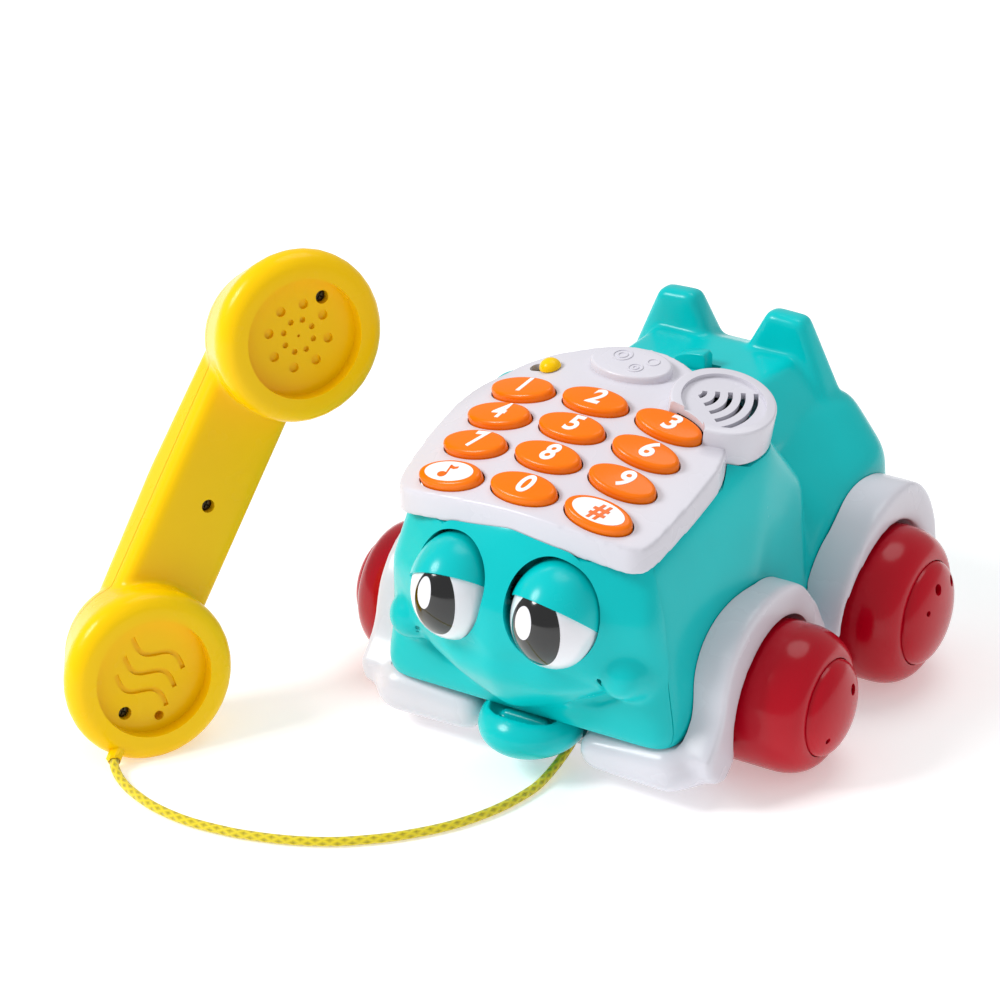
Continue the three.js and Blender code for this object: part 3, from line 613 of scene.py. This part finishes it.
def body():
    cabin, haunch = moulded(hull(CABIN), 1.5, 30), moulded(hull(HAUNCH), 1.5, 16)
    shell = united(cabin, haunch, hull(CRADLE), hull(PRONG), hull(flipped(PRONG)))
    shell = moulded(shell, 0.9, 18)
    hook_slot = block((-7.8, HOOK_Y - 3.4, 85), (8.6, HOOK_Y + 3.4, 120))
    cut(shell, ahead_of(SEAM_Y + GAP / 2), under(BODY_FOOT), *well_cuts(2 + GAP, 44 - GAP), pad_seat(),
        pod_disc(POD_R + GAP, -PAD_SKIRT, 30), hook_slot)
    settle(shell, "body_moulding", "car", "teal", TEAL, "body_shell")


def eye_hole(side):
    tool = plate(ellipse(SOCKET_A, SOCKET_B, 96), 0, 60)
    turn = Matrix.Rotation(side * SOCKET_TURN, 4, "Z") @ Matrix.Rotation(math.pi / 2, 4, "X")
    return carried(tool, Matrix.Translation((side * SOCKET_X, -5, EYE_Z + SOCKET_RISE)) @ turn)


def swept(spheres):
    """One tool along a chain of spheres (x, y, z, r)."""
    links = [hull(pair) for pair in zip(spheres, spheres[1:])]
    return added(links[0], *links[1:])


def face():
    cabin = moulded(hull(CABIN), 1.5, 30)
    cut(cabin, behind(0))
    upper = united(cabin, hull(BROW), hull(MUZZLE), hull(LOWER_FACE), hull(CHEEK), hull(flipped(CHEEK)))
    moulded(upper, 0.8, 22)
    cut(upper, swept(SMILE), swept(flipped(SMILE)))
    moulded(upper, 0.7, 9)
    cut(upper, behind(SEAM_Y - GAP / 2), under(BODY_FOOT), pad_seat(), eye_hole(1), eye_hole(-1))
    chin = ball(CHIN_AT, CHIN_SIZE)
    tongue = hull([(0, -19, 14, 3), (-7, -19, 18.5, 1.6), (7, -19, 18.5, 1.6), (0, -9, 16, 3.5)])
    cut(chin, block((-30, -40, 24), (30, 10, 60)), ball((0, -19.5, 25.5), (13.2, 9, 9.8)))
    moulded(added(chin, tongue), 0.6, 8)
    cut(chin, behind(-12))
    added(upper, chin)
    settle(upper, "face_moulding", "car", "teal", TEAL, "face_shell")


def fender(side):
    top = smooth_line(FENDER_TOP, 4)
    outline = [tuple(p) for p in top] + [(136, 12), (127, 10)]
    rear_foot, front_foot = (math.asin((z - FLOOR_Z0) / r) for z, r in ((24, 30.5), (21, 27.5)))
    for wheel, arch_z, arch_r, start, end in ((REAR, 24, 30.5, -0.3, math.pi + rear_foot),
                                              (FRONT, 21, 27.5, -front_foot, math.pi + 0.3)):
        for i in range(33):
            t = start + (end - start) * i / 32
            outline.append((wheel.y + arch_r * math.cos(t), arch_z + arch_r * math.sin(t)))
    outline += [(-4, 7.5), (-10, 9), (-15, 13)]
    piece = plate(outline, 50, 65)
    for vertex in piece.data.vertices:
        y, z, x = vertex.co
        t = min(1, max(0, (y - 45) / 40))
        flare = 1 + 0.34 * t * t * (3 - 2 * t)
        vertex.co = (side * (50 + (x - 50) * flare), y, z)
    only(piece)
    bpy.ops.object.mode_set(mode="EDIT")
    bpy.ops.mesh.select_all(action="SELECT")
    bpy.ops.mesh.normals_make_consistent(inside=False)
    bpy.ops.object.mode_set(mode="OBJECT")
    return piece


def chassis():
    trim = united(
        hull(mirrored([(46, 130, 15, 6), (46, 130, 20, 4)])),
        hull(mirrored([(18, -5, 12, 4), (18, -5, 19, 3)])),
        hull(BUMPER), hull(flipped(BUMPER)), fender(1), fender(-1))
    moulded(trim, 0.8, 40)
    upper = [hull(CABIN, GAP), hull(HAUNCH, GAP), hull(LOWER_FACE, GAP)]
    for form in upper:
        cut(form, under(BODY_FOOT - GAP))
    cut(trim, *upper, *well_cuts(0, 46), ball(CHIN_AT, [r + GAP for r in CHIN_SIZE]))
    cut(trim, cord_bore())
    settle(trim, "chassis_fenders", "car", "white", WHITE, "chassis")
    floor_pan()


def floor_pan():
    """Floor under the works, with its wheel wells, screw towers and the battery door's opening."""
    pan = block((-50, -8, FLOOR_Z0), (50, 132, FLOOR_Z1))
    tools = [block((-DOOR_X - GAP, DOOR_Y0 - GAP, 0), (DOOR_X + GAP, DOOR_Y1 + GAP, 20)), cord_bore()]
    towers = []
    for x, y in SCREW_PLACES:
        towers.append(post(x, y, FLOOR_Z1 - 1, 20, 4.6))
        tools += [post(x, y, 0, 14, 3), post(x, y, 10, 30, 1.8)]
    liners = []
    for wheel in (FRONT, REAR):
        for side in (-1, 1):
            cup = bar(*sorted((side * 44, side * 58)), wheel.y, wheel.r, wheel.well_r + 2)
            cut(cup, bar(*sorted((side * 46, side * 70)), wheel.y, wheel.r, wheel.well_r), under(FLOOR_Z0))
            liners.append(cup)
        tools.append(bar(-60, 60, wheel.y, wheel.r, AXLE_R + GAP, 48))
    added(pan, *towers, *liners)
    cut(pan, *tools, *well_cuts(0, 46))
    settle(pan, "chassis_floor_pan", "car", "white", WHITE, "chassis")


def cord_bore():
    """Slanting hole that the cord leaves the car by."""
    slant = Matrix.Rotation(math.pi / 4, 4, "X")
    return carried(post(0, 0, -11, 11, 2.3), Matrix.Translation(CORD_ROUTE[1]) @ slant)


body()
face()
chassis()


# ------------------------------------------------------------------ keypad
def key_place(row_index, column):
    return (column - 1) * 26.5, 23.1 - row_index * 14.45


def keypad():
    panel = moulded(plate(pad_outline(), -PAD_SKIRT, 0), 0.7, 10)
    on_pad(panel)
    pod = pod_disc(POD_R, -PAD_SKIRT + 1, POD_RISE)
    modify(pod, "BEVEL", width=0.9, segments=3, limit_method="ANGLE", angle_limit=math.radians(60))
    badge = carried(plate(ellipse(BADGE_A, BADGE_B, 64), -3, BADGE_RISE), pad_frame(*BADGE_AT))
    modify(badge, "BEVEL", width=1.0, segments=4, limit_method="ANGLE", angle_limit=math.radians(60))
    added(panel, pod, badge)
    added(panel, *swirls())
    hollow = on_pad(moulded(plate(pad_outline(-PAD_WALL), -40, -PAD_WALL), 1.5, 1))
    tools = [hollow, pod_disc(POD_R - PAD_WALL, -30, 1.4), pod_disc(POD_R - 3.4, POD_RISE - 1.4, 30)]
    for row_index in range(4):
        for column in range(3):
            hole = plate(ellipse(KEY_A + 0.5, KEY_B + 0.5, 48), -6, 8)
            tools.append(carried(hole, pad_frame(*key_place(row_index, column))))
    bridge = block((-SWITCH_TRAVEL, -2.4, -6), (0, 2.4, 6))
    slot = united(post(0, 0, -6, 6, 2.4), post(-SWITCH_TRAVEL, 0, -6, 6, 2.4), bridge)
    only(slot)
    bpy.ops.object.mode_set(mode="EDIT")
    bpy.ops.mesh.select_all(action="SELECT")
    bpy.ops.mesh.convex_hull()
    bpy.ops.object.mode_set(mode="OBJECT")
    tools.append(carried(slot, pad_frame(*SWITCH_AT)))
    for i in range(5):
        tools.append(grille_slot(3.2 + 4.1 * i))
    cut(panel, *tools)
    settle(panel, "keypad_bonnet", "car", "white", WHITE, "keypad_panel")


def swirls():
    """Low rings in relief on the badge."""
    rings = []
    for x, y, r in ((-4.5, 2.2, 3.4), (-4.5, 2.2, 1.8), (3.2, -3.2, 2.6), (3.2, -3.2, 1.2), (6.8, 2.2, 2.2)):
        ring = plate(ellipse(r, r, 40, x, y), BADGE_RISE - 0.5, BADGE_RISE + 0.3)
        cut(ring, plate(ellipse(r - 0.55, r - 0.55, 40, x, y), 0, BADGE_RISE + 2))
        rings.append(carried(ring, pad_frame(*BADGE_AT)))
    return rings


def grille_slot(radius):
    steps, half = 16, 0.8
    turns = [-0.62 + 1.24 * i / steps for i in range(steps + 1)]
    outer = [(-10.4 + (radius + half) * math.cos(t), (radius + half) * math.sin(t)) for t in turns]
    inner = [(-10.4 + (radius - half) * math.cos(t), (radius - half) * math.sin(t)) for t in reversed(turns)]
    return carried(plate(outer + inner, -6, 10), pad_frame(*POD_AT))


def key_cap():
    cap = plate(ellipse(KEY_A, KEY_B, 64), -4.6, KEY_PROUD)
    modify(cap, "BEVEL", width=1.5, segments=5, limit_method="ANGLE", angle_limit=math.radians(60))
    return cap


def lettering(text, size, at, thick=0.15):
    deselected()
    bpy.ops.object.text_add(location=(0, 0, 0))
    words = bpy.context.active_object
    words.data.body = text
    words.data.size = size
    words.data.extrude = thick
    words.data.offset = 0.028 * size
    words.data.shear = 0.2
    words.data.align_x = "CENTER"
    words.data.align_y = "CENTER"
    only(words)
    bpy.ops.object.convert(target="MESH")
    piece = bpy.context.active_object
    piece.data.transform(Matrix.Translation(at) @ Matrix.Diagonal((0.88, 0.94, 1, 1)))
    return piece


def keys():
    names = [("1", "2", "3"), ("4", "5", "6"), ("7", "8", "9"), ("note", "0", "hash")]
    for row_index, line in enumerate(names):
        for column, name in enumerate(line):
            node = "key_" + name
            place = pad_frame(*key_place(row_index, column))
            settle(key_cap(), node + "_cap", node, "orange", ORANGE, node, matrix=place, crease=50)
            if name in ("note", "hash"):
                face_plate = plate(ellipse(KEY_A - 2.6, KEY_B - 1.6, 64), KEY_PROUD - 0.2, KEY_PROUD + 0.12)
                settle(face_plate, node + "_face", node, "numeral_white", PRINT_WHITE, matrix=place)
                mark = note_mark() if name == "note" else lettering("#", 9.5, (0, 0, KEY_PROUD + 0.12))
                settle(mark, node + "_mark", node, "orange", PRINT_ORANGE, matrix=place)
            else:
                mark = lettering(name, 11.0, (0.2, 0.3, KEY_PROUD))
                settle(mark, node + "_numeral", node, "numeral_white", PRINT_WHITE, matrix=place)


def note_mark():
    low, high = KEY_PROUD, KEY_PROUD + 0.26
    head = plate(ellipse(1.6, 1.2, 32, -1.8, -1.6), low, high)
    stem = plate([(-0.7, -1.5), (-0.1, -1.5), (-0.1, 2.8), (-0.7, 2.8)], low, high)
    flag = plate([(-0.6, 2.8), (-0.6, 1.6), (1.0, 1.0), (2.4, 1.5), (2.6, 2.4), (1.2, 2.1)], low, high)
    return united(head, stem, flag)


def switch():
    profile = [(-5.6, 0.0), (-5.6, 3.6), (-4.4, 3.6), (-4.4, 1.9), (0.4, 1.9), (0.4, 3.6)]
    for i in range(1, 13):
        t = i / 12 * math.pi / 2
        profile.append((0.4 + 3.1 * math.sin(t), 3.6 * math.cos(t)))
    knob = turned(profile, 0, 0, 40)
    knob.data.transform(Matrix.Rotation(-math.pi / 2, 4, "Y"))
    settle(knob, "switch_button", "switch", "yellow", YELLOW, "switch_knob", matrix=pad_frame(*SWITCH_AT))


def hook():
    left, right, rise = -7.2, 5.6, 5.5
    top = [(left + 0.2, HOOK_Z - 1), (left + 0.3, HOOK_Z)]
    for i in range(1, 15):
        t = i / 14 * math.pi / 2
        top.append((right - 1 - (right - 1 - left) * math.cos(t), HOOK_Z + rise * math.sin(t)))
    outline = [(left, HOOK_Z - 7.4)] + top + [(right, HOOK_Z + rise - 1.4), (right, HOOK_Z - 4)]
    lever = plate(outline, -2.7, 2.7)
    lever.data.transform(Matrix.Translation((0, HOOK_Y, 0)) @ Matrix.Rotation(math.pi / 2, 4, "X"))
    modify(lever, "BEVEL", width=0.5, segments=3, limit_method="ANGLE", angle_limit=math.radians(50))
    settle(lever, "cradle_lever", "hook", "teal", TEAL, "hook_lever")


keypad()
keys()
switch()
hook()


# ------------------------------------------------------------------ wheels
def wheel(spec, side, hand):
    body_name = "wheels_" + spec.place
    r, seam = spec.r, spec.tip - 6.5
    profile = [(48, 0.0), (48, r - 4), (48.5, r - 2.4), (49.8, r - 1), (52, r - 0.15), (54, r)]
    profile.append((spec.shoulder - 3, r))
    reach, drop = seam - spec.shoulder + 3, r - spec.cap_r - 0.3
    for i in range(1, 13):
        t = i / 12 * math.pi / 2
        profile.append((spec.shoulder - 3 + reach * math.sin(t), r - drop * (1 - math.cos(t))))
    profile += [(seam - 2.5, spec.cap_r + 0.3), (seam - 2.5, 0.0)]
    tyre = turned([(side * x, radius) for x, radius in profile], spec.y, r, 96)
    settle(tyre, f"wheel_{spec.place}_{hand}_drum", body_name, "red", RED, f"wheel_{spec.place}_{hand}")
    dome = [(seam - 2.2, 0.0), (seam - 2.2, spec.cap_r), (seam - 0.4, spec.cap_r)]
    for i in range(0, 17):
        t = i / 16 * math.pi / 2
        dome.append((seam + (spec.tip - seam) * math.sin(t), spec.cap_r * math.cos(t)))
    dome[-1] = (spec.tip, 0.0)
    cap = turned([(side * x, radius) for x, radius in dome], spec.y, r, 96)
    tools = []
    for turn, reach, hole in spec.holes:
        angle = math.radians(turn)
        y = spec.y - reach * spec.cap_r * math.cos(angle)
        z = r + reach * spec.cap_r * math.sin(angle)
        tools.append(bar(*sorted((side * (seam + 1), side * 120)), y, z, hole, 24))
    cut(cap, *tools)
    settle(cap, f"hub_cap_{spec.place}_{hand}_dome", body_name, "red", RED, f"hub_cap_{spec.place}_{hand}")


for spec in (FRONT, REAR):
    wheel(spec, 1, "left")
    wheel(spec, -1, "right")


# ------------------------------------------------------------------ eyes
def eye_patch(side, at, a, b, proud):
    """Oval on the ball, for the printed pupil and for the painted highlight on it: the skin of a slightly
    larger ball inside an oval tunnel.
    """
    skin = ball((side * EYE_X, EYE_Y, EYE_Z), (EYE_A + proud, EYE_R + proud, EYE_R + proud), 96, 48)
    tunnel = plate(ellipse(a, b, 64), 0, 40)
    forwards = Matrix.Rotation(math.pi / 2, 4, "X")
    carried(tunnel, Matrix.Translation((at[0], EYE_Y - 2, at[1])) @ forwards)
    kept(skin, tunnel)
    return skin


def lid(side):
    """Upper lid: the skin of the ball above a plane that rises forwards."""
    skin = ball((side * EYE_X, EYE_Y, EYE_Z), (EYE_A + 0.7, EYE_R + 0.9, EYE_R + 1.6), 96, 48)
    lower = block((-200, -200, -200), (200, 200, 0))
    turn = Vector((0, 0, 1)).rotation_difference(Vector((0.14 * side, 0.8, 1)).normalized())
    carried(lower, Matrix.Translation((0, 0, LID_Z)) @ turn.to_matrix().to_4x4())
    return cut(skin, lower)


# Each eye: side, name, pupil and painted highlight (glint) as ((x, z) of the middle, half width, half
# height).
EYES = [
    (-1, "right", ((-17.8, 66.3), 7.2, 11.4), ((-20.9, 69.6), 2.7, 5.0)),
    (1, "left", ((18.0, 66.0), 8.7, 12.2), ((14.7, 68.8), 3.4, 5.2)),
]


def eyes():
    for side, hand, pupil, painted_glint in EYES:
        white = ball((side * EYE_X, EYE_Y, EYE_Z), (EYE_A, EYE_R, EYE_R), 96, 48)
        settle(white, f"eyeball_{hand}_white", "eyes", "eye", EYE_WHITE, f"eyeball_{hand}")
        settle(lid(side), f"eyelid_{hand}", "eyes", "teal", TEAL)
        settle(eye_patch(side, *pupil, 0.08), f"pupil_{hand}", "eyes", "pupil", PUPIL_BLACK)
        # The glint is a painted highlight: a white oval on the black pupil that stands in for a lamp's
        # reflection.
        settle(eye_patch(side, *painted_glint, 0.16), f"glint_{hand}", "eyes", "eye", EYE_WHITE)


eyes()


# ------------------------------------------------------------------ handset
UP = Vector((0.1713, 0.5028, 0.8473)).normalized()
OUT = Vector((0.842, -0.5212, 0.139)).normalized()
ACROSS = UP.cross(OUT).normalized()
HANDSET = Matrix.Translation((-95.95, -42.9, 77.9)) @ Matrix(
    (ACROSS, UP, ACROSS.cross(UP))).transposed().to_4x4()


def handset_form():
    cups = []
    for end in (-1, 1):
        y = end * PITCH / 2
        ring = []
        for i in range(32):
            t = 2 * math.pi * i / 32
            c, s = math.cos(t), math.sin(t)
            ring.append(((CUP_R - 4.4) * c, y + (CUP_R - 4.4) * s, -5.4, 5.6))
            ring.append(((CUP_R - 12) * c, y - end * 3.5 + (CUP_R - 12) * s, -DEPTH + 7, 8))
        cups.append(hull(ring))
    corners = []
    for x in (-GRIP_HALF + 2.2, GRIP_HALF - 3.8):
        for y in (-PITCH / 2, PITCH / 2):
            corners += [(x, y, -GRIP_DEPTH - 4, 4), (x, y, -DEPTH + 2.5, 4)]
        corners += [(x, 0, -DEPTH - 0.5, 4)]
    return moulded(united(*cups, hull(corners)), 0.8, 16)


def wave_groove(y):
    line = []
    for i in range(25):
        x = -10.5 + 21 * i / 24
        line.append(Vector((x, y + 2.6 * math.sin(-2 * math.pi * i / 24) - 0.18 * x)))
    left, right = [], []
    for i, p in enumerate(line):
        along = (line[min(i + 1, 24)] - line[max(i - 1, 0)]).normalized()
        out = Vector((-along.y, along.x)) * 0.8
        left.append(tuple(p + out))
        right.append(tuple(p - out))
    return plate(left + right[::-1], -DISH_DEPTH - 1.0, -DISH_DEPTH + 4)


def handset():
    whole = handset_form()
    tools = []
    for end in (-1, 1):
        tools.append(post(0, end * PITCH / 2, -DISH_DEPTH, 10, DISH_R, 96))
    ear = PITCH / 2
    for count, reach, r, turn in ((8, 5.3, 1.0, 0.2), (8, 10.4, 1.65, 0.3)):
        for i in range(count):
            t = turn + 2 * math.pi * i / count
            tools.append(post(reach * math.cos(t), ear + reach * math.sin(t), -DISH_DEPTH - 1.2, 0, r, 24))
    tools.append(post(0, ear, -DISH_DEPTH - 1, 0, 0.5, 16))
    for i in range(3):
        tools.append(wave_groove(-PITCH / 2 + 7.5 - 6.6 * i))
    tools.append(post(9.5, -PITCH / 2 - 11.5, -DISH_DEPTH - 4, 0, 1.6, 24))
    screws = {
        "ear": (2, ear + 14.3, -DISH_DEPTH),
        "grip": (0, -3, -GRIP_DEPTH),
        "mouth": (-2, -ear - 14.5, -DISH_DEPTH),
    }
    for x, y, floor in screws.values():
        tools.append(post(x, y, floor - 4.4, floor + 4, 2.2, 32))
    floor = carried(block((-300, -300, -100), (100, 100, 0.02)), HANDSET.inverted())
    cut(whole, floor)
    back = copied(whole)
    cut(whole, *tools, under(HANDSET_SEAM + GAP / 2))
    cut(back, block((-200, -200, HANDSET_SEAM - GAP / 2), (200, 200, 200)))
    settle(whole, "handset_front_moulding", "handset", "yellow", YELLOW, "handset_front", matrix=HANDSET)
    settle(back, "handset_back_moulding", "handset", "yellow", YELLOW, "handset_back", matrix=HANDSET)
    for name, (x, y, floor) in screws.items():
        head = post(x, y, floor - 4.2, floor - 2.4, 2.0, 32)
        modify(head, "BEVEL", width=0.4, segments=3, limit_method="ANGLE", angle_limit=math.radians(60))
        cut(head, block((x - 1.3, y - 0.25, floor - 3.3), (x + 1.3, y + 0.25, floor)),
            block((x - 0.25, y - 1.3, floor - 3.3), (x + 0.25, y + 1.3, floor)))
        node = f"handset_screw_{name}"
        settle(head, node + "_head", "handset", "screw", SCREW, node, matrix=HANDSET)


handset()


# ------------------------------------------------------------------ pieces kept as they are
def repaint():
    kept_nodes = {
        "axle_front": STEEL, "axle_rear": STEEL, "eye_shaft": STEEL, "eye_bracket": BLACK, "hook_pin": STEEL,
        "key_mat": RUBBER, "circuit_board": BOARD, "speaker": BLACK,
        "battery_box": BLACK, "battery_left": CELL,
        "battery_right": CELL, "battery_door": WHITE, "battery_door_screw": SCREW, "cord_collar": YELLOW,
    }
    for i in range(4):
        kept_nodes[f"chassis_screw_{i + 1}"] = SCREW
    for name, material in kept_nodes.items():
        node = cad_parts[name]
        node.data.materials.clear()
        node.data.materials.append(material)


repaint()


# ------------------------------------------------------------------ studio
def studio():
    deselected()
    bpy.ops.mesh.primitive_plane_add(size=8, location=(0, 0, 0))
    ground = bpy.context.active_object
    ground.name = ground.data.name = "studio_floor"
    pale = shader("pale_floor", (0.9, 0.9, 0.9), 0.7, mottle=0.005, grain=0.01, glow=0.34)
    ground.data.materials.append(pale)

    def lamp(name, size, power, place, target=(0, 0, 0.06)):
        data = bpy.data.lights.new(name, "AREA")
        data.shape = "DISK"
        data.size = size
        data.energy = power
        light = bpy.data.objects.new(name, data)
        bpy.context.scene.collection.objects.link(light)
        light.location = place
        light.rotation_euler = (Vector(place) - Vector(target)).to_track_quat("Z", "Y").to_euler()

    lamp("key", 0.7, 22, (-1.0, -1.0, 1.3))
    lamp("top", 1.0, 6, (0.1, 0.5, 1.6))
    world = bpy.data.worlds.new("studio")
    bpy.context.scene.world = world
    world.use_nodes = True
    world.node_tree.nodes["Background"].inputs["Color"].default_value = (1, 1, 1, 1)
    world.node_tree.nodes["Background"].inputs["Strength"].default_value = 0.5
    bpy.context.scene.view_settings.view_transform = "Standard"


studio()
